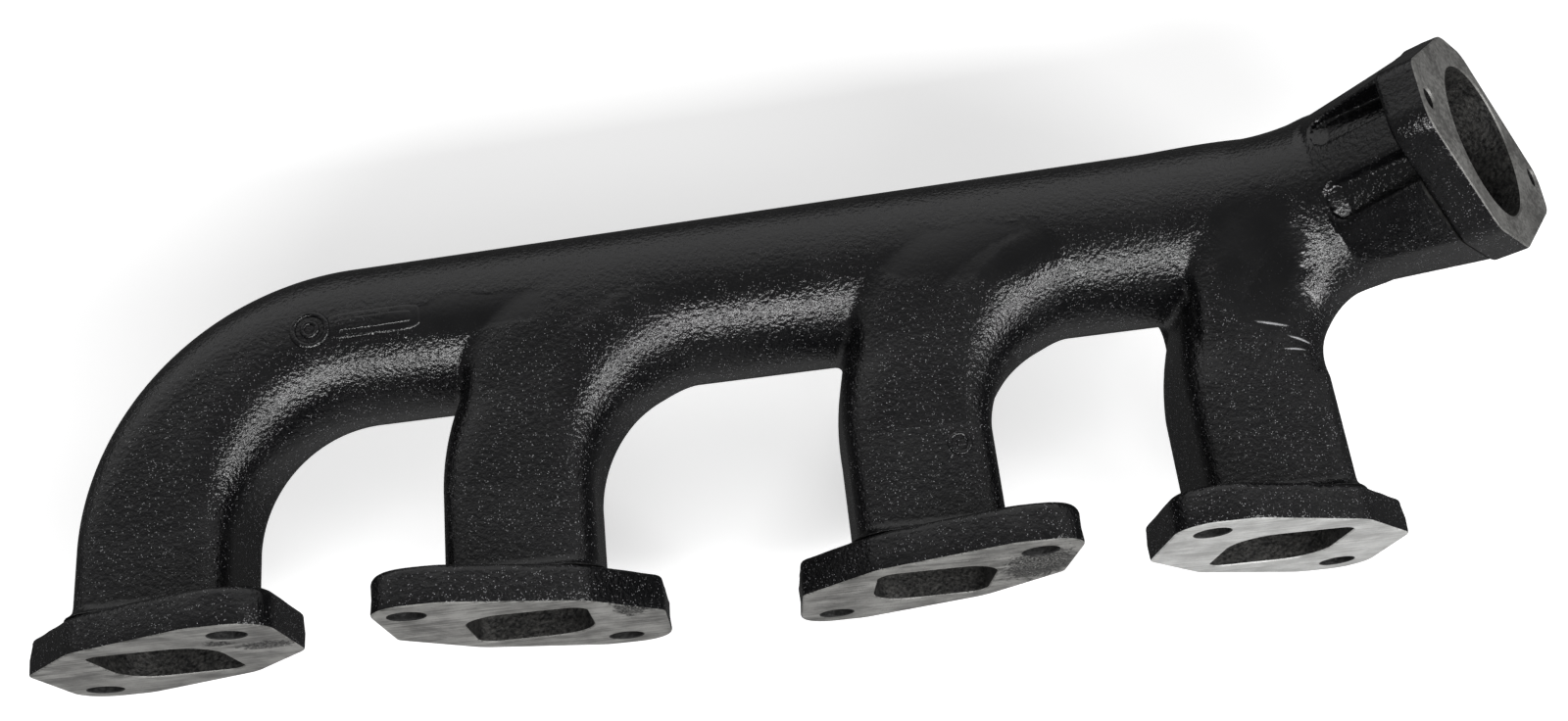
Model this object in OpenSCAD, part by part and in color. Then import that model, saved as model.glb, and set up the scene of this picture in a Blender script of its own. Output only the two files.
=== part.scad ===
// Four-cylinder exhaust manifold, grey cast iron, in its installed attitude.
// X runs along the collector towards the outlet, -Y faces the engine, +Z is up.
// The origin is on the port face plane, midway between ports 2 and 3.

/* [Ports] */
// Distance between the centres of ports 1-2 and 3-4
outer_pitch = 111; // [108:1:116]
// Distance between the centres of ports 2-3
middle_pitch = 129; // [124:1:134]
// Side of the square gas passage
port_w = 38; // [34:1:40]
// Passage corner radius beside the stud holes
port_r_wide = 13; // [8:1:15]
// Passage corner radius away from the stud holes
port_r_tight = 6; // [4:1:8]

/* [Port flanges] */
// Flange thickness
flange_t = 12; // [10:1:14]
// Half of the flange's overall width and height
flange_half = 42; // [41:0.5:44]
// Stud hole diameter, M10 clearance
stud_d = 11; // [10.5:0.5:12]
// Stud hole offset from the port centre, along X and along Z
stud_off = 29.5; // [29:0.5:31]

// How far the casting sits along X from the machined stud holes, port by port
cast_shift = [1.5, 2.5, 0.5, 0.5]; // [0:0.5:3]

/* [Runners] */
// Outside width of a runner
runner_w = 47; // [44:1:48]
// Outside corner radius of a runner
runner_r = 11; // [9:1:14]
// Wall thickness of the casting
wall = 4; // [3.5:0.5:5]
// Centre line radius of the sweep from a runner into the collector
sweep_r = 65; // [62:1:67]

/* [Collector] */
// Height of the collector axis above the port faces at X = 0
log_y = 104.2; // [102:0.2:108]
// Angle between the collector axis and the port face plane
log_tilt = 2.5; // [1.5:0.1:3.5]
// Outside radius of the collector at X = 0
log_r = 27.8; // [27:0.2:29]
// Growth of the radius per millimetre towards the outlet
log_growth = 0.013; // [0.01:0.001:0.015]

/* [Outlet] */
// Collector position where the outlet neck turns up
knee_x = 205; // [202:1:208]
// Angle of the outlet above the collector axis
outlet_rise = 45; // [40:1:50]
// Length of the outlet axis from the knee to the face
outlet_len = 68; // [64:1:70]
// Outlet bore diameter
outlet_bore = 52; // [50:1:53]
// Outlet flange thickness
outlet_t = 12; // [10:1:13]
// Pitch circle of the two outlet bolts
outlet_pcd = 86; // [84:1:88]
// Outlet bolt hole diameter, tapping size for M8
outlet_hole_d = 6.8; // [6.6:0.1:7]

/* [Cast marks] */
// Height of the raised pads above the casting
pad_rise = 1.2; // [0.8:0.2:2]

/* [Hidden] */
$fn = 64;
cut = 400;             // larger than the casting, for cutting tools
weld = 0.5;            // run-past of a passage beyond a piece's end
leg_top = 28;          // height of the joint between a leg and its sweep
neck_start = 30;       // distance from the knee to the neck's first face
rib_half = 7;          // half width of the rib behind each outlet bolt
pocket_edge = 18;      // pocket's far side, across the bolts
pocket_bed = 29.3;     // radius of a pocket's floor about the outlet axis
pocket_near = 12;      // a pocket's side starts at least this far along the bolts
pocket_floor = 1;      // pocket's end above the neck's first face
skin = 0.01;           // thickness of the slabs that a hull joins
full_turn = 90 - log_tilt;
last_turn = 70;        // the last sweep stops where the knee covers it
last_r = 22;           // and has shrunk to this radius
seam = 0.6;            // a sweep's end stays this far inside the collector's skin
slice = 0.4;           // thickness of a slice of a sweep
slice_fn = 24;         // facets round a slice of a sweep
sweep_steps = 10;      // slices along a sweep
badge_x = -124;        // centre of the badge's round end
badge_y = 96;
badge_ring = 6.5;
badge_len = 30;
badge_bar = 9;
mark_x = 11;           // foundry pad's centre from its port's centre
mark_y = 38;
mark_r = 4;
bolt_r = outlet_pcd / 2;
half_middle = middle_pitch / 2;
stud_x = [-half_middle - outer_pitch, -half_middle, half_middle, half_middle + outer_pitch];
port_x = stud_x + cast_shift;
port_hand = [1, -1, 1, -1];
runner_h = runner_w / 2;
port_h = port_w / 2;
slope = tan(log_tilt);
elbow_u = (port_x[0] + sweep_r * (1 - sin(log_tilt))) / cos(log_tilt);
knee_u = knee_x / cos(log_tilt);
knee = [knee_x, axis_y(knee_x), 0];
knee_r = log_radius(knee_u);
branch_back = 33;      // a branch section starts this far before its port
branch_on = 64;        // and ends this far past it
log_cuts = [elbow_u, port_x[1] - branch_back, port_x[1] + branch_on,
            port_x[2] - branch_back, port_x[2] + branch_on, port_x[3] - branch_back];

// Port flange outline, one handed: [x, z, corner radius], point symmetric.
outline_half = [[1, -0.03, 5], [1, 1, 12], [0.47, 1, 14], [-0.47, 0.61, 16]];
port_outline = concat(
    [for (p = outline_half) [p[0] * flange_half, p[1] * flange_half, p[2]]],
    [for (p = outline_half) [-p[0] * flange_half, -p[1] * flange_half, p[2]]]);

// Outlet flange outline in its own plane: [along the bolts, across, corner radius].
outlet_half = [[50, -3, 6], [50, 11, 6], [13, 34.5, 9], [-4, 34.5, 12]];
outlet_outline = concat(outlet_half, [for (p = outlet_half) [-p[0], -p[1], p[2]]]);

// Outline of the neck's block under the flange, in the same plane.
neck_half = [[34, -20, 5], [34, 23, 5], [13, 34.4, 5], [-12, 34.2, 5]];
neck_outline = concat(neck_half, [for (p = neck_half) [-p[0], -p[1], p[2]]]);

// Node to draw

function axis_y(x) = log_y + x * slope;
function log_radius(x) = log_r + x * log_growth;
function unit(v) = v / norm(v);
function wrap(i, n) = (i + n) % n;

// Height of the sweep's centre above port i, so that it ends on the collector axis.
function sweep_y(i) =
    axis_y(port_x[i] + sweep_r * (1 - sin(log_tilt))) - sweep_r * cos(log_tilt);

// Distance from corner i of an outline to where its rounding starts.
function round_len(p, i) =
    let (n = len(p),
         a = unit([for (k = [0, 1]) p[wrap(i - 1, n)][k] - p[i][k]]),
         b = unit([for (k = [0, 1]) p[wrap(i + 1, n)][k] - p[i][k]]))
    p[i][2] / tan(acos(a * b) / 2);

// Polygon whose corners are true arcs.
module rounded_outline(p) {
    n = len(p);
    polygon([for (i = [0:n - 1])
        let (here = [p[i][0], p[i][1]],
             a = unit([for (k = [0, 1]) p[wrap(i - 1, n)][k] - p[i][k]]),
             b = unit([for (k = [0, 1]) p[wrap(i + 1, n)][k] - p[i][k]]))
        for (s = [a, b]) here + s * round_len(p, i)]);
    for (i = [0:n - 1]) {
        here = [p[i][0], p[i][1]];
        a = unit([for (k = [0, 1]) p[wrap(i - 1, n)][k] - p[i][k]]);
        b = unit([for (k = [0, 1]) p[wrap(i + 1, n)][k] - p[i][k]]);
        reach = norm([round_len(p, i), p[i][2]]);
        translate(here + unit(a + b) * reach) circle(r = p[i][2]);
    }
}

// Square with two corner radii, one for each diagonal.
module duct_section(h, r_a, r_b) {
    rounded_outline([[h, -h, r_b], [h, h, r_a], [-h, h, r_b], [-h, -h, r_a]]);
}

// Stands a flat outline up on the port face plane at port i and carries it along Y.
module from_face(i, y0, y1) {
    translate([port_x[i], y1, 0]) rotate([90, 0, 0]) linear_extrude(height = y1 - y0)
        scale([port_hand[i], 1]) children();
}

module port_passage(i, y0, y1) {
    from_face(i, y0, y1) duct_section(port_h, port_r_wide, port_r_tight);
}

module port_flange(i) {
    color("dimgray") difference() {
        from_face(i, 0, flange_t) rounded_outline(port_outline);
        port_passage(i, -weld, flange_t + weld);
        for (s = [-1, 1])
            translate([stud_x[i] + s * port_hand[i] * stud_off, -weld, s * stud_off])
                rotate([-90, 0, 0]) cylinder(d = stud_d, h = flange_t + 2 * weld);
    }
}

module runner_leg(i) {
    color("black") difference() {
        from_face(i, flange_t, leg_top) duct_section(runner_h, runner_r, runner_r);
        port_passage(i, flange_t - weld, leg_top + weld);
    }
}

// Thin slice of sweep i at turn angle a: the runner's rounded square changes to a circle
// of radius end_r on the way up. A negative a is a straight distance below the start.
module sweep_slice(i, a, turn, end_r, inset) {
    bend = max(0, a);
    t = bend / turn;
    e = sin(90 * t);
    h = runner_h + (end_r - runner_h) * e - inset;
    r = min(runner_r + (end_r - runner_r) * e - inset, h - slice);
    translate([port_x[i] + sweep_r, sweep_y(i) + min(0, a), 0]) rotate([0, 0, -bend])
        translate([-sweep_r, 0, 0]) rotate([90, 0, 0]) linear_extrude(height = slice)
            for (x = [-1, 1]) for (z = [-1, 1])
                translate([x * (h - r), z * (h - r)]) circle(r = r, $fn = slice_fn);
}

// Sweep i from the top of its leg into the collector: slices joined in pairs.
module sweep_solid(i, turn, end_r, inset, past) {
    foot = leg_top - sweep_y(i) - past + slice;
    angles = concat([foot], [for (k = [0:sweep_steps]) turn * k / sweep_steps]);
    for (k = [0:sweep_steps]) hull() {
        sweep_slice(i, angles[k], turn, end_r, inset);
        sweep_slice(i, angles[k + 1], turn, end_r, inset);
    }
}

// Frame of the collector: X along its axis, origin above X = 0.
module along_collector() {
    translate([0, log_y, 0]) rotate([0, 0, log_tilt]) children();
}

// Stretch of the collector's cone between two stations, grown or shrunk by inset.
module collector_cone(u0, u1, inset) {
    along_collector() translate([u0, 0, 0]) rotate([0, 90, 0])
        cylinder(r1 = log_radius(u0) - inset, r2 = log_radius(u1) - inset, h = u1 - u0);
}

// Plain tube section of the collector.
module collector(u0, u1) {
    color("black") difference() {
        collector_cone(u0, u1, 0);
        collector_cone(u0 - weld, u1 + weld, wall);
    }
}

// Collector section with the sweep of runner i running into it.
module branch(i, u0, u1) {
    tuck = log_radius(u1) - seam;
    color("black") difference() {
        union() {
            sweep_solid(i, full_turn, tuck, 0, 0);
            collector_cone(u0, u1, 0);
        }
        sweep_solid(i, full_turn, tuck, wall, weld);
        collector_cone(u0 - weld, u1 + weld, wall);
    }
}

// Frame of the outlet: origin at the knee, Z out along the outlet axis.
module along_outlet() {
    translate(knee) rotate([0, 90 - outlet_rise, 0]) children();
}

// Collector end, knee and the round start of the neck, grown or shrunk by inset.
module knee_solid(u0, s1, inset) {
    collector_cone(u0, knee_u, inset);
    translate(knee) sphere(r = knee_r - inset, $fn = 40);
    along_outlet() cylinder(r = knee_r - inset, h = s1);
}

// Branch of the last runner, with the knee that turns up to the outlet.
module last_branch(u0) {
    color("black") difference() {
        union() {
            sweep_solid(3, last_turn, last_r, 0, 0);
            knee_solid(u0, neck_start, 0);
        }
        sweep_solid(3, last_turn, last_r, wall, weld);
        knee_solid(u0, neck_start + weld, knee_r - outlet_bore / 2);
        collector_cone(u0 - weld, knee_u, wall);
    }
}

module outlet_shape() {
    scale([-1, 1]) rounded_outline(outlet_outline);
}

// Neck that goes from the round knee to an eight-sided block under the flange, with a
// flat rib behind each bolt and a pocket on each side of it.
module outlet_neck() {
    s1 = outlet_len - outlet_t;
    color("black") along_outlet() difference() {
        hull() {
            translate([0, 0, neck_start]) cylinder(r = knee_r, h = skin);
            translate([0, 0, s1 - skin]) linear_extrude(height = skin) rounded_outline(neck_outline);
        }
        translate([0, 0, neck_start - weld]) cylinder(d = outlet_bore, h = s1);
        for (a = [-1, 1])
            for (b = [-1, 1])
                translate([0, 0, neck_start + pocket_floor]) linear_extrude(height = s1)
                    scale([a, b]) pocket_shape();
    }
}

module pocket_shape() {
    difference() {
        translate([pocket_near, rib_half]) square([pocket_bed, pocket_edge - rib_half]);
        circle(r = pocket_bed);
    }
}

module outlet_flange() {
    color("dimgray") along_outlet() translate([0, 0, outlet_len - outlet_t]) difference() {
        linear_extrude(height = outlet_t) outlet_shape();
        translate([0, 0, -weld]) cylinder(d = outlet_bore, h = outlet_t + 2 * weld);
        for (a = [-1, 1])
            translate([a * bolt_r, 0, -weld])
                cylinder(d = outlet_hole_d, h = outlet_t + 2 * weld);
    }
}

// Outer or inner skin of the elbow; past is how far it runs beyond both of its ends, in
// millimetres at the foot and in degrees at the collector.
module elbow_solid(inset, past) {
    sweep_solid(0, full_turn + past, log_radius(elbow_u), inset, past);
}

module end_elbow() {
    color("black") difference() {
        elbow_solid(0, 0);
        elbow_solid(wall, weld);
    }
}

// Raised blank pad on the crown of the elbow and collector.
module badge_pad() {
    color("black") difference() {
        intersection() {
            translate([badge_x, badge_y, 0]) linear_extrude(height = cut) {
                circle(r = badge_ring);
                translate([0, -badge_bar / 2]) square([badge_len, badge_bar]);
            }
            collector_cone(badge_x - 2 * badge_ring, badge_x + 2 * badge_len, -pad_rise);
        }
        elbow_solid(0, 0);
        collector_cone(elbow_u, badge_x + 3 * badge_len, 0);
    }
}

// Straight top of runner 3 above its leg, grown all round.
module mark_body(grow) {
    from_face(2, leg_top, sweep_y(2)) duct_section(runner_h + grow, runner_r + grow, runner_r + grow);
}

// Small raised foundry pad on the shoulder of runner 3.
module foundry_pad() {
    color("black") difference() {
        intersection() {
            translate([port_x[2] + mark_x, mark_y, 0]) cylinder(r = mark_r, h = cut);
            mark_body(pad_rise);
        }
        mark_body(0);
    }
}

port_flange(0);  // port_flange_1
port_flange(1);  // port_flange_2
port_flange(2);  // port_flange_3
port_flange(3);  // port_flange_4
runner_leg(0);  // runner_leg_1
runner_leg(1);  // runner_leg_2
runner_leg(2);  // runner_leg_3
runner_leg(3);  // runner_leg_4
end_elbow();
collector(log_cuts[0], log_cuts[1]);  // collector_1
branch(1, log_cuts[1], log_cuts[2]);  // branch_2
collector(log_cuts[2], log_cuts[3]);  // collector_2
branch(2, log_cuts[3], log_cuts[4]);  // branch_3
collector(log_cuts[4], log_cuts[5]);  // collector_3
last_branch(log_cuts[5]);  // branch_4
outlet_neck();
outlet_flange();
badge_pad();
foundry_pad();
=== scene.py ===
"""Exhaust manifold: the cast skin, the machined flanges and their finishes.

The casting is one distance field, a function of position that is negative inside the
iron. Its zero surface is found on a grid and cut into the regions that the CAD names.
The flanges are closed shells built from outlines carried through their thickness.
Lengths inside the classes are millimetres; meshes are written in metres.
"""

import logging
import math
from dataclasses import dataclass, field
from enum import Enum
from typing import Callable, Dict, List, Optional, Sequence, Tuple

import bmesh
import bpy
import numpy as np
from mathutils import Matrix, Vector
from mathutils.geometry import tessellate_polygon

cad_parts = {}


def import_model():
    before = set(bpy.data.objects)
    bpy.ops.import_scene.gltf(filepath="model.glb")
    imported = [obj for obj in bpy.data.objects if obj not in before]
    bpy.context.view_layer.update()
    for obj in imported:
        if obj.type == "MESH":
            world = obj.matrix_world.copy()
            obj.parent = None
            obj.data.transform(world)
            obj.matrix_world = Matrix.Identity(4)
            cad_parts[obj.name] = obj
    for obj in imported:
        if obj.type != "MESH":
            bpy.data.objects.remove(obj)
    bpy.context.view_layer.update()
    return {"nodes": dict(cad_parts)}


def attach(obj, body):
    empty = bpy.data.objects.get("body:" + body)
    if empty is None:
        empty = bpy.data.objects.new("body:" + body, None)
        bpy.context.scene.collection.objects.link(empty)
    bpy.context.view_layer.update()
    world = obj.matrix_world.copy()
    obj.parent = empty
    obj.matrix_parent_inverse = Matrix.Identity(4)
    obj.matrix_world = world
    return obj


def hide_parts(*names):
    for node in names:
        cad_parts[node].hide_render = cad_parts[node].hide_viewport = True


LOG = logging.getLogger("manifold")
MM = 0.001

Array = np.ndarray
Field = Callable[[Array], Array]


# --- shader maths -------------------------------------------------------------------


class Sock:
    """One output in a node tree, with arithmetic that adds Math nodes."""

    def __init__(self, tree: bpy.types.NodeTree, out: bpy.types.NodeSocket) -> None:
        """Keep the tree and the output socket."""
        self.tree = tree
        self.out = out

    def _math(self, op: str, *args: object) -> "Sock":
        """Add a Math node.

        Args:
            op: Blender's name for the operation.
            args: Sock or number operands in order.

        Returns:
            The node's output.
        """
        node = self.tree.nodes.new("ShaderNodeMath")
        node.operation = op
        for slot, arg in zip(node.inputs, args):
            if isinstance(arg, Sock):
                self.tree.links.new(arg.out, slot)
            else:
                slot.default_value = float(arg)
        return Sock(self.tree, node.outputs[0])

    def __add__(self, other: object) -> "Sock":
        """Sum."""
        return self._math("ADD", self, other)

    def __sub__(self, other: object) -> "Sock":
        """Difference."""
        return self._math("SUBTRACT", self, other)

    def __rsub__(self, other: object) -> "Sock":
        """Difference with a number on the left."""
        return self._math("SUBTRACT", other, self)

    def __mul__(self, other: object) -> "Sock":
        """Product."""
        return self._math("MULTIPLY", self, other)

    def most(self, other: object) -> "Sock":
        """Larger of the two."""
        return self._math("MAXIMUM", self, other)

    def ramp(self, low: float, high: float, a: float = 0.0, b: float = 1.0) -> "Sock":
        """Smoothstep from low..high to a..b.

        Args:
            low: input where the ramp starts.
            high: input where it ends.
            a: output at low.
            b: output at high.

        Returns:
            The ramp's output.
        """
        node = self.tree.nodes.new("ShaderNodeMapRange")
        node.interpolation_type = "SMOOTHSTEP"
        self.tree.links.new(self.out, node.inputs["Value"])
        for name, value in (("From Min", low), ("From Max", high), ("To Min", a), ("To Max", b)):
            node.inputs[name].default_value = value
        return Sock(self.tree, node.outputs["Result"])


class Shader:
    """A material's node tree with short calls for the nodes the finishes use."""

    def __init__(self, name: str) -> None:
        """Make the material with an empty tree, its output and one Principled node."""
        self.material = bpy.data.materials.new(name)
        self.material.use_nodes = True
        self.tree = self.material.node_tree
        self.tree.nodes.clear()
        self.surface = self.tree.nodes.new("ShaderNodeBsdfPrincipled")
        out = self.tree.nodes.new("ShaderNodeOutputMaterial")
        self.tree.links.new(self.surface.outputs["BSDF"], out.inputs["Surface"])
        coords = self.tree.nodes.new("ShaderNodeTexCoord")
        self.place = Sock(self.tree, coords.outputs["Object"])

    def add(self, kind: str, out: str, props: Optional[Dict[str, object]] = None, **ins: object) -> Sock:
        """Add any other node.

        Args:
            kind: the node's type name.
            out: name of the output wanted.
            props: attributes set on the node before its inputs.
            ins: input values or Socks by name, with _ for a space.

        Returns:
            The named output.
        """
        node = self.tree.nodes.new(kind)
        for key, value in (props or {}).items():
            setattr(node, key, value)
        for key, value in ins.items():
            slot = node.inputs[key.replace("_", " ")]
            if isinstance(value, Sock):
                self.tree.links.new(value.out, slot)
            else:
                slot.default_value = value
        return Sock(self.tree, node.outputs[out])

    def noise(self, per_m: float, detail: float = 2.0, rough: float = 0.5) -> Sock:
        """Fractal noise with per_m cells to the metre, 0..1 round one half."""
        return self.add("ShaderNodeTexNoise", "Fac", Vector=self.place, Scale=per_m,
                        Detail=detail, Roughness=rough)

    def cells(self, per_m: float) -> Sock:
        """Distance from the nearest scattered point, with per_m points to the metre."""
        return self.add("ShaderNodeTexVoronoi", "Distance", Vector=self.place, Scale=per_m)

    def value(self, number: float) -> Sock:
        """A constant."""
        node = self.tree.nodes.new("ShaderNodeValue")
        node.outputs[0].default_value = number
        return Sock(self.tree, node.outputs[0])

    def vector(self, op: str, a: Sock, b: Sequence[float] = (0.0, 0.0, 0.0)) -> bpy.types.Node:
        """Vector Math node of a vector and a constant one.

        Args:
            op: Blender's name for the operation.
            a: the vector.
            b: the constant one, where the operation has two.

        Returns:
            The node.
        """
        node = self.tree.nodes.new("ShaderNodeVectorMath")
        node.operation = op
        self.tree.links.new(a.out, node.inputs[0])
        node.inputs[1].default_value = tuple(b)
        return node

    def blob(self, patch: "Patch") -> Sock:
        """Distance from a patch's middle in units of its half sizes."""
        moved = Sock(self.tree, self.vector("SUBTRACT", self.place, patch.centre).outputs["Vector"])
        scaled = Sock(self.tree, self.vector("DIVIDE", moved, patch.size).outputs["Vector"])
        return Sock(self.tree, self.vector("LENGTH", scaled).outputs["Value"])

    def streak(self, scuff: "Scuff") -> Sock:
        """Distance from a scuff's middle in units of its half length and half width."""
        turned = self.add("ShaderNodeVectorRotate", "Vector", {"rotation_type": "Z_AXIS"},
                          Vector=self.place, Center=scuff.centre, Angle=-math.radians(scuff.turn))
        flat = self.add("ShaderNodeMapping", "Vector", {"vector_type": "TEXTURE"}, Vector=turned,
                        Location=scuff.centre, Scale=(scuff.half_length, scuff.half_width, 0.02))
        return Sock(self.tree, self.vector("LENGTH", flat).outputs["Value"])

    def mixed(self, a: Sequence[float], b: Sequence[float], by: Sock) -> Sock:
        """Colour that goes from a to b as the factor goes from 0 to 1.

        Args:
            a: colour, or its Sock, at 0.
            b: colour, or its Sock, at 1.
            by: the factor.

        Returns:
            The mixed colour.
        """
        node = self.tree.nodes.new("ShaderNodeMix")
        node.data_type = "RGBA"
        self.tree.links.new(by.out, node.inputs["Factor"])
        for slot, value in ((6, a), (7, b)):
            if isinstance(value, Sock):
                self.tree.links.new(value.out, node.inputs[slot])
            else:
                node.inputs[slot].default_value = (*value, 1.0)
        return Sock(self.tree, node.outputs[2])

    def relief(self, height: Sock, depth: float) -> Sock:
        """Bump of a height whose unit is depth metres."""
        return self.add("ShaderNodeBump", "Normal", Height=height, Distance=depth, Strength=1.0)

    def feed(self, **ins: object) -> bpy.types.Material:
        """Set or link the Principled node's inputs and return the material.

        Args:
            ins: values or Socks by input name, with _ for a space.

        Returns:
            The material.
        """
        for key, value in ins.items():
            slot = self.surface.inputs[key.replace("_", " ")]
            if isinstance(value, Sock):
                self.tree.links.new(value.out, slot)
            else:
                slot.default_value = value
        return self.material


@dataclass(frozen=True)
class Patch:
    """A place on a surface that looks different: centre and half sizes in metres."""

    centre: Tuple[float, float, float]
    size: Tuple[float, float, float]


@dataclass(frozen=True)
class Scuff:
    """A short rubbed line: centre and half sizes in metres, turned about Z in degrees."""

    centre: Tuple[float, float, float]
    half_length: float
    half_width: float
    turn: float


@dataclass(frozen=True)
class Enamel:
    """Black engine enamel over sand-cast iron. Scales are cells to the metre."""

    name: str = "black_enamel"
    colour: Tuple[float, float, float] = (0.0025, 0.0025, 0.003)
    lift: Tuple[float, float, float] = (0.005, 0.005, 0.0055)
    # light colour of the painted glints (painted highlights) and of the scuffs' real wear
    glint_and_scuff_colour: Tuple[float, float, float] = (0.6, 0.6, 0.62)
    patches: Tuple[Patch, ...] = ()
    scuffs: Tuple[Scuff, ...] = ()
    slow_scale: float = 55.0
    edge_scale: float = 120.0
    wave_scale: float = 150.0
    rare_scale: float = 500.0
    peel_scale: float = 700.0
    grit_scale: float = 1250.0
    depth: float = 0.00038
    shine: float = 0.62

    def smooth(self, s: Shader) -> Sock:
        """Share of the orange peel that the smooth patches take away."""
        edge = s.noise(self.edge_scale) - 0.5
        out = s.value(0.0)
        for patch in self.patches:
            out = out.most((s.blob(patch) + edge * 0.9).ramp(0.75, 1.05, 1.0, 0.0))
        return out * 0.85

    def rubbed(self, s: Shader) -> Sock:
        """Where the scuffs are, 1 on a scuff's middle line."""
        out = s.value(0.0)
        for scuff in self.scuffs:
            out = out.most(s.streak(scuff).ramp(0.35, 1.0, 1.0, 0.0))
        return out

    def material(self) -> bpy.types.Material:
        """Build the finish.

        Height is orange peel plus grit plus slow sand-cast waves; the smooth patches
        take most of the peel and grit away, and the scuffs stand proud. The light specks
        on the grit are painted glints, painted highlights of the peel, more of them on the
        runners; the scuffs, real wear, are lightened with the same colour. Roughness
        follows slow noise.

        Returns:
            The material.
        """
        s = Shader(self.name)
        slow = s.noise(self.slow_scale, 3.0)
        wave = s.noise(self.wave_scale, 2.0, 0.55)
        peel = s.noise(self.peel_scale, 2.0, 0.6)
        grit = s.cells(self.grit_scale).ramp(0.1, 0.28, 1.0, 0.0)
        rare = s.noise(self.rare_scale).ramp(0.44, 0.56)
        keep = 1.0 - self.smooth(s)
        rub = self.rubbed(s)
        up = s.add("ShaderNodeSeparateXYZ", "Y", Vector=s.place)
        # painted glints: light specks on the grit, many below Y 0.07 m on the runners and few past 0.1 m
        # on the collector, joined with the real scuffs
        painted_glint_and_scuff = (grit * rare * keep * up.ramp(0.07, 0.1, 0.42, 0.08)).most(rub * 0.7)
        height = wave * 0.25 + peel * (keep * 0.9 + 0.1) + grit * rare * keep * 0.15 + rub * 1.2
        ground = s.mixed(self.colour, self.lift, slow.ramp(0.3, 0.8))
        return s.feed(Base_Color=s.mixed(ground, self.glint_and_scuff_colour, painted_glint_and_scuff),
                      Roughness=slow.ramp(0.3, 0.7, 0.19, 0.25),
                      Normal=s.relief(height, self.depth), Specular_IOR_Level=self.shine)


@dataclass(frozen=True)
class RawIron:
    """Unpainted sand-cast wall inside the gas passages."""

    name: str = "raw_iron"
    dark: Tuple[float, float, float] = (0.012, 0.012, 0.012)
    light: Tuple[float, float, float] = (0.07, 0.068, 0.064)

    def material(self) -> bpy.types.Material:
        """Build the finish: coarse grains from two noises and scattered cells.

        Returns:
            The material.
        """
        s = Shader(self.name)
        grain = s.noise(900.0, 3.0, 0.65)
        lump = s.noise(260.0, 2.0)
        cell = s.cells(700.0)
        height = grain * 0.6 + lump * 0.5 + cell * 0.4
        colour = s.mixed(self.dark, self.light, (grain * 0.6 + lump * 0.4).ramp(0.35, 0.7))
        return s.feed(Base_Color=colour, Metallic=0.5, Roughness=grain.ramp(0.3, 0.7, 0.45, 0.7),
                      Normal=s.relief(height, 0.0005))


@dataclass(frozen=True)
class Milled:
    """Bare milled grey iron with cutter lines, graphite specks, stains and marks."""

    name: str = "milled_iron"
    bright: Tuple[float, float, float] = (0.38, 0.375, 0.36)
    dull: Tuple[float, float, float] = (0.13, 0.128, 0.122)
    turn: Tuple[float, float, float] = (0.0, 0.0, 0.0)
    pitting: float = 0.4
    marks: Tuple[Patch, ...] = ()
    pit: Tuple[float, float, float] = (0.02, 0.02, 0.019)
    line_scale: Tuple[float, float, float] = (45.0, 900.0, 900.0)
    depth: float = 0.00006
    metal: float = 0.55

    def material(self) -> bpy.types.Material:
        """Build the finish.

        Tone is a sum of streaks along one direction and slow stains. Dark pits come from
        fine noise, and stand closer together inside the marks.

        Returns:
            The material.
        """
        s = Shader(self.name)
        along = s.add("ShaderNodeMapping", "Vector", Vector=s.place, Rotation=self.turn,
                      Scale=self.line_scale)
        lines = s.add("ShaderNodeTexNoise", "Fac", Vector=along, Scale=1.0, Detail=2.0)
        stain = s.noise(70.0, 4.0, 0.65)
        fine = s.noise(1300.0, 2.0)
        pits = fine.ramp(0.6, 0.7) * self.pitting
        edge = s.noise(400.0, 3.0) - 0.5
        for mark in self.marks:
            here = (s.blob(mark) + edge * 1.6).ramp(0.7, 1.0, 1.0, 0.0)
            pits = pits.most(here * fine.ramp(0.38, 0.52))
        tone = (lines * 0.45 + stain * 0.55).ramp(0.36, 0.64)
        colour = s.mixed(s.mixed(self.dull, self.bright, tone), self.pit, pits)
        rough = (stain * 0.5 + lines * 0.5).ramp(0.3, 0.7, 0.4, 0.56)
        return s.feed(Base_Color=colour, Metallic=self.metal, Roughness=rough,
                      Normal=s.relief(lines * 0.5 - pits * 0.8, self.depth))


# --- sizes ---------------------------------------------------------------------------


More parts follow.
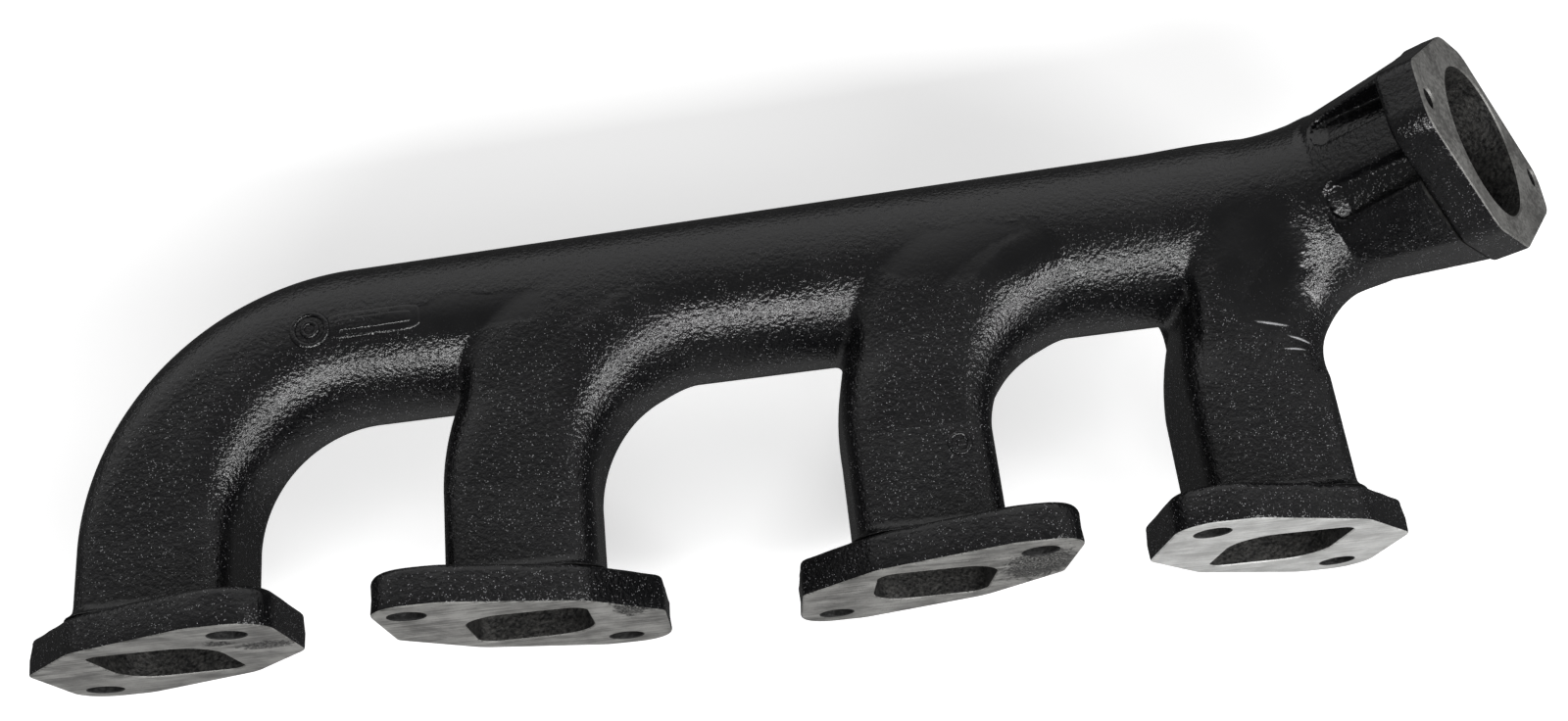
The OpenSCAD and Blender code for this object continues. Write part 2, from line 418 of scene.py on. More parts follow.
@dataclass(frozen=True)
class Plan:
    """Sizes shared by the casting, its flanges and its pads, in millimetres."""

    stud_x: Tuple[float, ...] = (-175.5, -64.5, 64.5, 175.5)
    cast_shift: Tuple[float, ...] = (1.5, 2.5, 0.5, 0.5)
    hands: Tuple[int, ...] = (1, -1, 1, -1)
    flange_t: float = 12.0
    leg_top: float = 28.0
    half: float = 23.5
    corner: float = 11.0
    wall: float = 4.0
    bend: float = 65.0
    log_y: float = 104.2
    tilt: float = math.radians(2.5)
    log_r: float = 27.8
    growth: float = 0.013
    knee_x: float = 205.0
    outlet_len: float = 68.0
    outlet_t: float = 12.0
    neck_start: float = 30.0
    bore_r: float = 26.0
    branch_back: float = 33.0
    branch_on: float = 64.0

    @property
    def port_x(self) -> List[float]:
        """Centres of the runners along X."""
        return [s + c for s, c in zip(self.stud_x, self.cast_shift)]

    @property
    def axis(self) -> Array:
        """Direction of the collector."""
        return np.array([math.cos(self.tilt), math.sin(self.tilt), 0.0])

    @property
    def start(self) -> Array:
        """Point of the collector's centre line above X = 0."""
        return np.array([0.0, self.log_y, 0.0])

    @property
    def knee(self) -> Array:
        """Centre of the knee, where the collector turns up to the outlet."""
        return np.array([self.knee_x, self.log_y + self.knee_x * math.tan(self.tilt), 0.0])

    @property
    def knee_u(self) -> float:
        """Knee's distance along the collector."""
        return float((self.knee - self.start) @ self.axis)

    @property
    def outlet(self) -> Array:
        """Direction of the outlet."""
        return np.array([math.sqrt(0.5), 0.0, math.sqrt(0.5)])

    @property
    def bolts(self) -> Array:
        """Direction in the outlet face along its two bolt holes."""
        return np.array([math.sqrt(0.5), 0.0, -math.sqrt(0.5)])

    def radius(self, along: Array) -> Array:
        """Collector's radius, growing evenly along it."""
        return self.log_r + along * self.growth

    def bend_y(self, i: int) -> float:
        """Height at which runner i starts to turn, so that it ends on the centre line."""
        x = self.port_x[i] + self.bend * (1 - math.sin(self.tilt))
        return self.log_y + x * math.tan(self.tilt) - self.bend * math.cos(self.tilt)

    @property
    def cuts(self) -> List[float]:
        """Places along the collector where one named region ends and the next starts."""
        first = (self.port_x[0] + self.bend * (1 - math.sin(self.tilt))) / math.cos(self.tilt)
        rest = [self.port_x[1] - self.branch_back, self.port_x[1] + self.branch_on,
                self.port_x[2] - self.branch_back, self.port_x[2] + self.branch_on,
                self.port_x[3] - self.branch_back]
        return [first, *rest]


# --- the casting's distance field ------------------------------------------------------


def fillet(a: Array, b: Array, k: Array) -> Array:
    """Join two solids with a fillet: max(k, min(a, b)) less the length of (k-a, k-b)."""
    return np.maximum(k, np.minimum(a, b)) - np.hypot(np.maximum(k - a, 0), np.maximum(k - b, 0))


def round_cut(a: Array, b: Array, k: float) -> Array:
    """Common part of two solids with its edge rounded: the fillet of their outsides."""
    return -fillet(-a, -b, k)


def rise(x: Array, low: float, high: float) -> Array:
    """Smooth step from 0 at low to 1 at high."""
    t = np.clip((x - low) / (high - low), 0.0, 1.0)
    return t * t * (3 - 2 * t)


def rounded_polygon(u: Array, v: Array, corners: Array, r: float) -> Array:
    """Distance to a convex outline with corners of radius r.

    The outline is drawn in by r, its distance is the least distance to an edge with the
    sign of the largest half-plane value, and r is taken off again.

    Args:
        u: first coordinate.
        v: second coordinate.
        corners: (n, 2) corners, counter-clockwise.
        r: corner radius.

    Returns:
        Distance, negative inside.
    """
    edge = np.roll(corners, -1, 0) - corners
    unit = edge / np.linalg.norm(edge, axis=1, keepdims=True)
    out = np.stack([unit[:, 1], -unit[:, 0]], 1)
    level = (corners * out).sum(1) - r
    before = np.roll(out, 1, 0)
    cross = before[:, 0] * out[:, 1] - before[:, 1] * out[:, 0]
    low = np.roll(level, 1)
    inner = np.stack([(low * out[:, 1] - level * before[:, 1]) / cross,
                      (level * before[:, 0] - low * out[:, 0]) / cross], 1)
    deepest = np.full(np.shape(u), -1e9)
    nearest = np.full(np.shape(u), 1e9)
    for a, b, n, c in zip(inner, np.roll(inner, -1, 0), out, level):
        deepest = np.maximum(deepest, u * n[0] + v * n[1] - c)
        span = b - a
        t = np.clip(((u - a[0]) * span[0] + (v - a[1]) * span[1]) / (span @ span), 0, 1)
        nearest = np.minimum(nearest, np.hypot(u - a[0] - t * span[0], v - a[1] - t * span[1]))
    return np.where(deepest > 0, nearest, -nearest) - r


@dataclass
class Runner:
    """One runner: a rounded square that rises from a port and bends into the collector."""

    plan: Plan
    index: int
    turn: float
    end_r: float
    flare: float = 3.5
    left_fillet: float = 3.0
    right_fillet: float = 22.0

    def __post_init__(self) -> None:
        """Work out where the runner stands and starts to bend."""
        self.x = self.plan.port_x[self.index]
        self.bend_y = self.plan.bend_y(self.index)

    def measure(self, p: Array) -> Tuple[Array, Array, Array, Array]:
        """Runner's own coordinates of points.

        Args:
            p: (3, ...) points.

        Returns:
            Offset to the outside of the bend, bend angle, direction of the offset in X
            and in Y.
        """
        dx = p[0] - (self.x + self.plan.bend)
        dy = p[1] - self.bend_y
        bent = dy > 0
        rho = np.hypot(dx, dy) + 1e-9
        u = np.where(bent, rho, -dx) - self.plan.bend
        angle = np.where(bent, np.arctan2(dy, -dx), 0.0)
        return u, angle, np.where(bent, dx / rho, -1.0), np.where(bent, dy / rho, 0.0)

    def section(self, p: Array, inset: float) -> Tuple[Array, Array, Array]:
        """Distance to the runner's wall, and the wall's direction there.

        The half size and the corner radius both run from the rounded square's to the
        collector's radius with the sine of the share of the turn.

        Args:
            p: (3, ...) points.
            inset: wall thickness taken off, 0 for the outside.

        Returns:
            Distance, offset to the outside of the bend, and unit direction (3, ...).
        """
        plan = self.plan
        u, angle, ux, uy = self.measure(p)
        e = np.sin(np.clip(angle / self.turn, 0, 1) * math.pi / 2)
        h = plan.half + (self.end_r - plan.half) * e - inset
        r = np.minimum(plan.corner + (self.end_r - plan.corner) * e - inset, h)
        if inset == 0.0:
            near = np.clip(1 - (p[1] - plan.flange_t) / self.flare, 0.0, 0.96)
            grown = self.flare * (1 - np.sqrt(1 - near * near))
            h = h + grown
            r = r + grown
        qu = np.abs(u) - (h - r)
        qv = np.abs(p[2]) - (h - r)
        ou, ov = np.maximum(qu, 0), np.maximum(qv, 0)
        length = np.hypot(ou, ov)
        d = length + np.minimum(np.maximum(qu, qv), 0) - r
        safe = np.maximum(length, 1e-9)
        gu, gv = ou * np.sign(u) / safe, ov * np.sign(p[2]) / safe
        past = (angle - self.turn) * (u + plan.bend)
        return np.maximum(d, past), u, np.stack([gu * ux, gu * uy, gv])


@dataclass
class Cast:
    """The whole casting as one distance field."""

    plan: Plan
    runners: List[Runner] = field(default_factory=list)
    block: Tuple[Tuple[float, float], ...] = (
        (34.0, -20.0), (34.0, 23.0), (13.0, 34.4), (-12.0, 34.2),
        (-34.0, 20.0), (-34.0, -23.0), (-13.0, -34.4), (12.0, -34.2))
    block_from: float = 20.0
    rib: float = 7.0
    pocket_edge: float = 18.0
    pocket_more: float = 0.6
    pocket_floor: float = 28.7
    pocket_from: float = 25.5
    crook: float = 60.0
    lefts: Tuple[float, ...] = (0.0, 2.5, 3.0, 4.0)
    rights: Tuple[float, ...] = (0.0, 22.0, 22.0, 34.0)
    last_turn: float = math.radians(70)
    last_r: float = 22.0
    seam: float = 0.6
    top_start: float = 45.0
    reach: Tuple[float, float] = (45.0, 40.0)
    grow_over: Tuple[float, float] = (-14.0, 12.0)
    upright: Tuple[float, float] = (0.35, 0.95)
    ease: float = 0.45
    fade_over: Tuple[float, float] = (0.7, 0.98)

    def __post_init__(self) -> None:
        """Set up the four runners."""
        plan = self.plan
        full = math.pi / 2 - plan.tilt
        elbow_r = float(plan.radius(np.array(plan.cuts[0])))
        ends = [elbow_r]
        for i in (1, 2):
            x = plan.port_x[i] + plan.bend * (1 - math.sin(plan.tilt))
            ends.append(float(plan.radius(np.array(x / math.cos(plan.tilt)))) - self.seam)
        ends.append(self.last_r)
        turns = [full, full, full, self.last_turn]
        self.runners = [Runner(plan, i, turns[i], ends[i], left_fillet=self.lefts[i],
                               right_fillet=self.rights[i]) for i in range(4)]
        self.knee_r = float(plan.radius(np.array(plan.knee_u)))

    def outlet_frame(self, p: Array) -> Tuple[Array, Array, Array]:
        """Coordinates along the bolts, across them and out of the outlet."""
        q = p - self.plan.knee.reshape((3,) + (1,) * (p.ndim - 1))
        n, b = self.plan.outlet, self.plan.bolts
        return q[0] * b[0] + q[2] * b[2], q[1], q[0] * n[0] + q[2] * n[2]

    def collector(self, p: Array, inset: float) -> Tuple[Array, Array]:
        """Distance to the collector, its knee and the round of its neck.

        Each is the distance from a centre line less its radius, and both lines end at the
        knee. A fillet fills the crook above it, and fades where the walls run on.

        Args:
            p: (3, ...) points.
            inset: wall thickness taken off, 0 for the outside.

        Returns:
            Distance and unit direction (3, ...).
        """
        plan = self.plan
        shape = (3,) + (1,) * (p.ndim - 1)
        d, n = plan.axis, plan.outlet
        w = p - plan.start.reshape(shape)
        s = w[0] * d[0] + w[1] * d[1]
        held = np.minimum(s, plan.knee_u)
        around = w - held * d.reshape(shape)
        far = np.sqrt((around ** 2).sum(0)) + 1e-9
        cone = np.maximum(far - plan.radius(held) + inset, plan.cuts[0] - s)
        q = p - plan.knee.reshape(shape)
        t = q[0] * n[0] + q[2] * n[2]
        top = plan.outlet_len + 40 if inset else self.block_from
        side = q - np.clip(t, 0, top) * n.reshape(shape)
        wide = np.sqrt((side ** 2).sum(0)) + 1e-9
        tube = wide - (plan.bore_r if inset else self.knee_r)
        around, side = around / far, side / wide
        dist = np.minimum(cone, tube)
        if not inset:
            dist = fillet(cone, tube, self.crook * np.clip(1 - (around * side).sum(0), 0, 1))
        share = rise(tube - cone, -12.0, 12.0)
        return dist, share * around + (1 - share) * side

    def neck(self, p: Array) -> Array:
        """Distance to the neck that carries the flange.

        The section's distance goes evenly from a circle's to an eight-sided block's. On
        each bolt side a flat rib stands between two pockets, whose floors follow the bore.

        Args:
            p: (3, ...) points.

        Returns:
            Distance, negative inside.
        """
        plan = self.plan
        u, v, s = self.outlet_frame(p)
        top = plan.outlet_len - plan.outlet_t
        t = np.clip((s - self.block_from) / (top - self.block_from), 0, 1)
        far = np.hypot(u, v)
        d = (1 - t) * (far - self.knee_r) + t * rounded_polygon(u, v, np.array(self.block), 5.0)
        d = np.maximum(d, np.maximum(self.block_from - s, s - top - 3))
        wide = np.abs(v)
        edge = self.pocket_edge + self.pocket_more * (u * v > 0)
        pocket = round_cut(self.rib - wide, wide - edge, 2.0)
        pocket = round_cut(pocket, self.pocket_from - s, 4.5)
        pocket = round_cut(pocket, self.pocket_floor - far, 2.0)
        return round_cut(d, -np.maximum(pocket, 12.0 - np.abs(u)), 1.5)

    def outside(self, p: Array) -> Array:
        """Distance to the casting with its passages filled.

        Runners join the collector with fillets. A fillet's radius goes from small on the
        outside of the bend to large on the inside, times one less the cosine between the
        two walls, so that it fades where they become parallel.

        Args:
            p: (3, ...) points.

        Returns:
            Distance, negative inside.
        """
        total, way = self.collector(p, 0.0)
        low, high = p[0].min(), p[0].max()
        joined = total
        for runner in self.runners:
            if high < runner.x - self.reach[0] or low > runner.x + self.plan.bend + self.reach[1]:
                continue
            d, u, dirs = runner.section(p, 0.0)
            if runner.index == 0:
                joined = np.minimum(joined, d)
                continue
            apart = np.clip(1 - (way * dirs).sum(0), 0, 1)
            side = np.maximum(rise(-u, *self.grow_over), rise(np.abs(dirs[2]), *self.upright))
            k = (runner.left_fillet + (runner.right_fillet - runner.left_fillet) * side) \
                * apart ** (1 - self.ease * side)
            if runner.index < 3:
                k = k * (1 - rise(runner.measure(p)[1] / runner.turn, *self.fade_over))
            joined = np.minimum(joined, fillet(total, d, k))
        if high > self.plan.knee_x - 20:
            joined = np.minimum(joined, self.neck(p))
        return joined

    def passage(self, p: Array) -> Array:
        """Distance to the gas passages: the same shapes a wall's thickness smaller."""
        total, _ = self.collector(p, self.plan.wall)
        for runner in self.runners:
            total = np.minimum(total, runner.section(p, self.plan.wall)[0])
        return total

    def __call__(self, p: Array) -> Array:
        """Distance to the iron: inside the outer wall and outside the passages."""
        return np.maximum(self.outside(p), -self.passage(p))

    def slope(self, p: Array, step: float = 0.04) -> Array:
        """Gradient of the distance by differences over twice the step.

        Args:
            p: (3, n) points.
            step: half the span of a difference.

        Returns:
            (3, n) gradient.
        """
        moves = np.eye(3) * step
        return np.stack([(self(p + m[:, None]) - self(p - m[:, None])) / (2 * step) for m in moves])

    def top_of(self, x: Array, y: Array) -> Array:
        """Height of the casting's top skin, found by stepping down by the distance.

        Args:
            x: places along X.
            y: places along Y.

        Returns:
            Height at each place.
        """
        z = np.full(np.shape(x), self.top_start)
        for _ in range(40):
            z = z - self.outside(np.stack([x, y, z]))
        return z


# --- skinning and cutting --------------------------------------------------------------


def sample(solid: Field, low: Array, count: Array, cell: float, slab: int = 16) -> Array:
    """Distance at every grid point, worked out slab by slab along X.

    Args:
        solid: the distance field.
        low: lowest corner of the grid.
        count: grid points along each axis.
        cell: grid spacing.
        slab: grid points per slab.

    Returns:
        (nx, ny, nz) distances.
    """
    axes = [low[k] + cell * np.arange(count[k]) for k in range(3)]
    out = np.empty(tuple(count))
    for i in range(0, count[0], slab):
        grid = np.stack(np.meshgrid(axes[0][i:i + slab], axes[1], axes[2], indexing="ij"))
        out[i:i + slab] = solid(grid)
    return out


def skin(solid: "Cast", low: Array, high: Array, cell: float) -> Tuple[Array, Array]:
    """Zero surface of a distance field.

    Every grid cell that the surface crosses gets one point, the mean of the crossings on
    its edges, and every crossed edge gets one face through its four cells. The points
    then move along the slope by distance over slope until they lie on the surface.

    Args:
        solid: the distance field.
        low: lowest corner.
        high: highest corner.
        cell: grid spacing.

    Returns:
        (n, 3) points and (m, 3) triangles that face outwards.
    """
    count = np.ceil((high - low) / cell).astype(int) + 1
    values = sample(solid, low, count, cell)
    strides = np.array([count[1] * count[2], count[2], 1])
    cells, places, flips = [], [], []
    for k in range(3):
        a = values[tuple(slice(None, -1) if j == k else slice(1, -1) for j in range(3))]
        b = values[tuple(slice(1, None) if j == k else slice(1, -1) for j in range(3))]
        where = np.argwhere((a < 0) != (b < 0))
        va, vb = a[tuple(where.T)], b[tuple(where.T)]
        at = where + np.array([0 if j == k else 1 for j in range(3)])
        spot = at.astype(float)
        spot[:, k] += va / (va - vb)
        u, v = (k + 1) % 3, (k + 2) % 3
        base = at @ strides
        ring = np.stack([base - strides[u] - strides[v], base - strides[v], base,
                         base - strides[u]], 1)
        cells.append(ring)
        places.append(spot)
        flips.append(va >= 0)
    ring, spot, flip = np.concatenate(cells), np.concatenate(places), np.concatenate(flips)
    _, quad = np.unique(ring, return_inverse=True)
    quad = quad.reshape(ring.shape)
    total = np.bincount(quad.ravel(), minlength=quad.max() + 1)
    points = np.stack([np.bincount(quad.ravel(), np.repeat(spot[:, j], 4)) / total
                       for j in range(3)], 1) * cell + low
    quad = np.where(flip[:, None], quad[:, ::-1], quad)
    p = points.T.copy()
    for _ in range(4):
        g = solid.slope(p)
        move = solid(p) * g / np.maximum((g ** 2).sum(0), 0.25)
        size = np.sqrt((move ** 2).sum(0)) + 1e-9
        p = p - move * np.minimum(1.0, 0.5 * cell / size)
    across = ((p[:, quad[:, 0]] - p[:, quad[:, 2]]) ** 2).sum(0)
    other = ((p[:, quad[:, 1]] - p[:, quad[:, 3]]) ** 2).sum(0)
    short = (across <= other)[:, None]
    first = np.where(short, quad[:, [0, 1, 2]], quad[:, [0, 1, 3]])
    second = np.where(short, quad[:, [0, 2, 3]], quad[:, [1, 2, 3]])
    return p.T, np.concatenate([first, second])


def rolled(faces: Array, first: Array) -> Array:
    """Triangles turned so that each one's given corner comes first."""
    return np.take_along_axis(faces, (first[:, None] + np.arange(3)) % 3, 1)


def clip(points: Array, faces: Array, spot: Array, normal: Array) -> Tuple[Array, Array]:
    """Keep the part of a triangle mesh on the side that the normal points away from.

    A triangle with one point kept becomes one smaller triangle, one with two kept
    becomes two, and the new points lie on its edges in proportion to their distances.

    Args:
        points: (n, 3) points.
        faces: (m, 3) triangles.
        spot: a point of the plane.
        normal: the plane's direction, towards what is dropped.

    Returns:
        New points and triangles.
    """
    d = (points - spot) @ normal
    d = np.where(np.abs(d) < 1e-5, 1e-5, d)
    kept = d[faces] < 0
    n = kept.sum(1)
    lone, pair = faces[n == 1], faces[n == 2]
    lone = rolled(lone, np.argmax(kept[n == 1], 1))
    pair = rolled(pair, np.argmin(kept[n == 2], 1))
    edges = np.concatenate([lone[:, [0, 1]], lone[:, [0, 2]], pair[:, [0, 1]], pair[:, [0, 2]]])
    keys, back = np.unique(np.sort(edges, 1), axis=0, return_inverse=True)
    back = back.reshape(-1)
    a, b = keys[:, 0], keys[:, 1]
    t = (d[a] / (d[a] - d[b]))[:, None]
    fresh = points[a] + t * (points[b] - points[a])
    ids = back + len(points)
    m, q = len(lone), len(pair)
    la, lb, pa, pb = ids[:m], ids[m:2 * m], ids[2 * m:2 * m + q], ids[2 * m + q:]
    out = np.concatenate([faces[n == 3], np.stack([lone[:, 0], la, lb], 1),
                          np.stack([pa, pair[:, 1], pair[:, 2]], 1),
                          np.stack([pa, pair[:, 2], pb], 1)])
    return np.concatenate([points, fresh]), out


def tidy(points: Array, faces: Array) -> Tuple[Array, Array]:
    """Drop the points that no triangle uses.

    Args:
        points: (n, 3) points.
        faces: (m, 3) triangles.

    Returns:
        The points in use and the triangles between them.
    """
    used, back = np.unique(faces, return_inverse=True)
    return points[used], back.reshape(faces.shape)


@dataclass(frozen=True)
class Cut:
    """A plane that bounds a region; what lies along the normal is dropped."""

    spot: Tuple[float, float, float]
    normal: Tuple[float, float, float]


def finish_piece(name: str, mesh: bpy.types.Mesh, materials: Sequence[bpy.types.Material],
                 nodes: Sequence[str]) -> bpy.types.Object:
    """Put a mesh in the scene as a piece of the manifold.

    Args:
        name: the piece's name.
        mesh: its mesh, in metres.
        materials: its finishes, in the order of the faces' indices.
        nodes: CAD nodes that it stands for.

    Returns:
        The new object.
    """
    for material in materials:
        mesh.materials.append(material)
    piece = bpy.data.objects.new(name, mesh)
    bpy.context.scene.collection.objects.link(piece)
    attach(piece, "root")
    if nodes:
        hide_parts(*nodes)
    LOG.info("%s: %d faces", name, len(mesh.polygons))
    return piece


@dataclass
class Casting:
    """The cast runners, collector and neck, cut into the regions that the CAD names."""

    plan: Plan
    cast: Cast
    outer: bpy.types.Material
    inner: bpy.types.Material
    cell: float = 1.3
    low: Tuple[float, float, float] = (-215.0, 6.0, -40.0)
    high: Tuple[float, float, float] = (292.0, 158.0, 88.0)
    snap: float = 2e-6

    def regions(self) -> Dict[str, List[Cut]]:
        """Planes round each named region.

        Returns:
            Cuts by region name.
        """
        plan = self.plan
        d, n = plan.axis, plan.outlet
        low = Cut((0, plan.flange_t, 0), (0, -1, 0))
        knees = [plan.knee + s * n for s in (plan.neck_start, plan.outlet_len - plan.outlet_t)]

        def before(u: float) -> Cut:
            """Keep what lies before a place along the collector."""
            return Cut(tuple(plan.start + u * d), tuple(d))

        def after(u: float) -> Cut:
            """Keep what lies after a place along the collector."""
            return Cut(tuple(plan.start + u * d), tuple(-d))

        above = Cut((0, plan.leg_top, 0), (0, -1, 0))
        c = plan.cuts
        out = {"end_elbow": [above, before(c[0])],
               "collector_1": [above, after(c[0]), before(c[1])],
               "branch_2": [above, after(c[1]), before(c[2])],
               "collector_2": [above, after(c[2]), before(c[3])],
               "branch_3": [above, after(c[3]), before(c[4])],
               "collector_3": [above, after(c[4]), before(c[5])],
               "branch_4": [above, after(c[5]), Cut(tuple(knees[0]), tuple(n))],
               "outlet_neck": [Cut(tuple(knees[0]), tuple(-n)), Cut(tuple(knees[1]), tuple(n))]}
        for i, x in enumerate(plan.port_x):
            out[f"runner_leg_{i + 1}"] = [
                low, Cut((0, plan.leg_top, 0), (0, 1, 0)),
                Cut((x - 50, 0, 0), (-1, 0, 0)), Cut((x + 50, 0, 0), (1, 0, 0))]
        return out

    def piece(self, name: str, points: Array, faces: Array) -> bpy.types.Object:
        """Close one region's cut ends, shade it by the field's slope and place it.

        Args:
            name: the region's name.
            points: its points in millimetres.
            faces: its triangles.

        Returns:
            The piece.
        """
        mesh = bpy.data.meshes.new(name)
        mesh.from_pydata(points * MM, [], faces)
        bm = bmesh.new()
        bm.from_mesh(mesh)
        bmesh.ops.remove_doubles(bm, verts=bm.verts, dist=self.snap)
        bmesh.ops.dissolve_degenerate(bm, edges=bm.edges, dist=self.snap / 2)
        walls = len(bm.faces)
        rims = [e for e in bm.edges if e.is_boundary]
        for cut in self.regions()[name]:
            spot, normal = Vector(cut.spot) * MM, Vector(cut.normal)
            own = [e for e in rims
                   if all(abs((v.co - spot).dot(normal)) < self.snap for v in e.verts)]
            if own:
                bmesh.ops.triangle_fill(bm, edges=own, normal=normal, use_beauty=False)
        bm.faces.ensure_lookup_table()
        bmesh.ops.recalc_face_normals(bm, faces=bm.faces[walls:])
        for cap in bm.faces[walls:]:
            cap.material_index = 1
        for face in bm.faces:
            face.smooth = True
        odd = sum(1 for e in bm.edges if not e.is_manifold)
        if odd:
            LOG.warning("%s: %d edges that don't join exactly two faces", name, odd)
        bm.to_mesh(mesh)
        bm.free()
        self.shade(mesh, walls)
        return finish_piece(name, mesh, [self.outer, self.inner], [name])

    def shade(self, mesh: bpy.types.Mesh, walls: int) -> None:
        """Give the walls the field's slope as their normals and the passages their finish.

        Args:
            mesh: the region's mesh.
            walls: number of faces that aren't caps.
        """
        co = np.empty(len(mesh.vertices) * 3)
        mesh.vertices.foreach_get("co", co)
        p = co.reshape(-1, 3).T / MM
        g = self.cast.slope(p)
        g = (g / np.maximum(np.sqrt((g ** 2).sum(0)), 1e-9)).T
        corner = np.empty(len(mesh.loops), dtype=np.int32)
        mesh.loops.foreach_get("vertex_index", corner)
        size = np.empty(len(mesh.polygons), dtype=np.int32)
        mesh.polygons.foreach_get("loop_total", size)
        flat = np.empty(len(mesh.polygons) * 3)
        mesh.polygons.foreach_get("normal", flat)
        middle = np.empty(len(mesh.polygons) * 3)
        mesh.polygons.foreach_get("center", middle)
        owner = np.repeat(np.arange(len(size)), size)
        flat = flat.reshape(-1, 3)[owner]
        normal = g[corner]
        off = (normal * flat).sum(1) < 0.5
        normal = np.where(((owner >= walls) | off)[:, None], flat, normal)
        mesh.normals_split_custom_set(normal.tolist())
        m = middle.reshape(-1, 3).T / MM
        inside = -self.cast.passage(m) > self.cast.outside(m)
        index = np.where((np.arange(len(size)) >= walls) | inside, 1, 0)
        mesh.polygons.foreach_set("material_index", index.astype(np.int32))
        mesh.update()

    def build(self) -> List[bpy.types.Object]:
        """Skin the field once and cut it into its regions.

        Returns:
            The twelve pieces.
        """
        points, faces = skin(self.cast, np.array(self.low), np.array(self.high), self.cell)
        LOG.info("casting: %d triangles", len(faces))
        out = []
        for name, cuts in self.regions().items():
            p, f = points, faces
            for cut in cuts:
                p, f = tidy(*clip(p, f, np.array(cut.spot, float), np.array(cut.normal, float)))
            out.append(self.piece(name, p, f))
        return out


# --- flanges ---------------------------------------------------------------------------


@dataclass
class Loop:
    """A closed outline in the plane, with its outward directions."""

    points: Array
    out: Array

    def at(self, offset: float) -> Array:
        """The outline moved outwards by the offset."""
        return self.points + offset * self.out


def rounded_loop(corners: Sequence[Tuple[float, float, float]], per: int = 14) -> Loop:
    """Outline of a polygon with a round at each corner.

    Each round is an arc about the point whose distance to both edges is its radius, from
    one edge's direction to the next in even steps of angle.

    Args:
        corners: (x, y, radius) in order, counter-clockwise.
        per: points per round.

    Returns:
        The outline.
    """
    c = np.array(corners, float)
    xy, r = c[:, :2], c[:, 2]
    edge = np.roll(xy, -1, 0) - xy
    ahead = edge / np.linalg.norm(edge, axis=1, keepdims=True)
    behind = np.roll(ahead, 1, 0)
    n0 = np.stack([behind[:, 1], -behind[:, 0]], 1)
    n1 = np.stack([ahead[:, 1], -ahead[:, 0]], 1)
    mid = n0 + n1
    mid = mid / (1 + (n0 * n1).sum(1, keepdims=True))
    centre = xy - r[:, None] * mid
    a0 = np.arctan2(n0[:, 1], n0[:, 0])
    turn = (np.arctan2(n1[:, 1], n1[:, 0]) - a0 + math.pi) % (2 * math.pi) - math.pi
    a = a0[:, None] + turn[:, None] * np.linspace(0, 1, per)
    out = np.stack([np.cos(a), np.sin(a)], -1)
    return Loop((centre[:, None] + r[:, None, None] * out).reshape(-1, 2), out.reshape(-1, 2))


def circle_loop(x: float, y: float, r: float, per: int = 48) -> Loop:
    """Circle of radius r round (x, y): centre plus r times (cos a, sin a).

    Args:
        x: centre.
        y: centre.
        r: radius.
        per: points round it.

    Returns:
        The outline.
    """
    a = np.arange(per) * 2 * math.pi / per
    out = np.stack([np.cos(a), np.sin(a)], 1)
    return Loop(np.array([x, y]) + r * out, out)


def dense(loop: Loop, gap: float = 2.5) -> Loop:
    """Add points on the straight runs, no further apart than the gap.

    Each run is split into equal shares, with the directions shared out in the same way.

    Args:
        loop: the outline.
        gap: widest spacing.

    Returns:
        The outline with the extra points.
    """
    nxt, nout = np.roll(loop.points, -1, 0), np.roll(loop.out, -1, 0)
    n = np.maximum(1, np.ceil(np.linalg.norm(nxt - loop.points, axis=1) / gap)).astype(int)
    which = np.repeat(np.arange(len(n)), n)
    t = ((np.arange(n.sum()) - np.repeat(np.cumsum(n) - n, n)) / n[which])[:, None]
    pts = loop.points[which] * (1 - t) + nxt[which] * t
    out = loop.out[which] * (1 - t) + nout[which] * t
    return Loop(pts, out / np.linalg.norm(out, axis=1, keepdims=True))


class Face(Enum):
    """Finish of a flange's surfaces, in the order of its material slots."""

    MILLED = 0
    PAINT = 1
    DRILLED = 2
    RAW = 3


@dataclass
class Wall:
    """A side carried through a flange: rows of (outward offset, depth) and their finish."""

    loop: Loop
    rows: List[Tuple[float, float]]
    finish: List[Face]
    hole: bool = False


def back_round(t: float, r: float, draft: float, steps: int = 6) -> List[Tuple[float, float]]:
    """Rows of a rounded back edge: a quarter circle of radius r that ends at depth t.

    Args:
        t: thickness.
        r: radius of the round.
        draft: how far the side has drawn in where the round starts.
        steps: rows.

    Returns:
        Rows of (outward offset, depth).
    """
    a = np.linspace(0, math.pi / 2, steps)
    return [(-draft - r * (1 - math.cos(x)), t - r + r * math.sin(x)) for x in a]


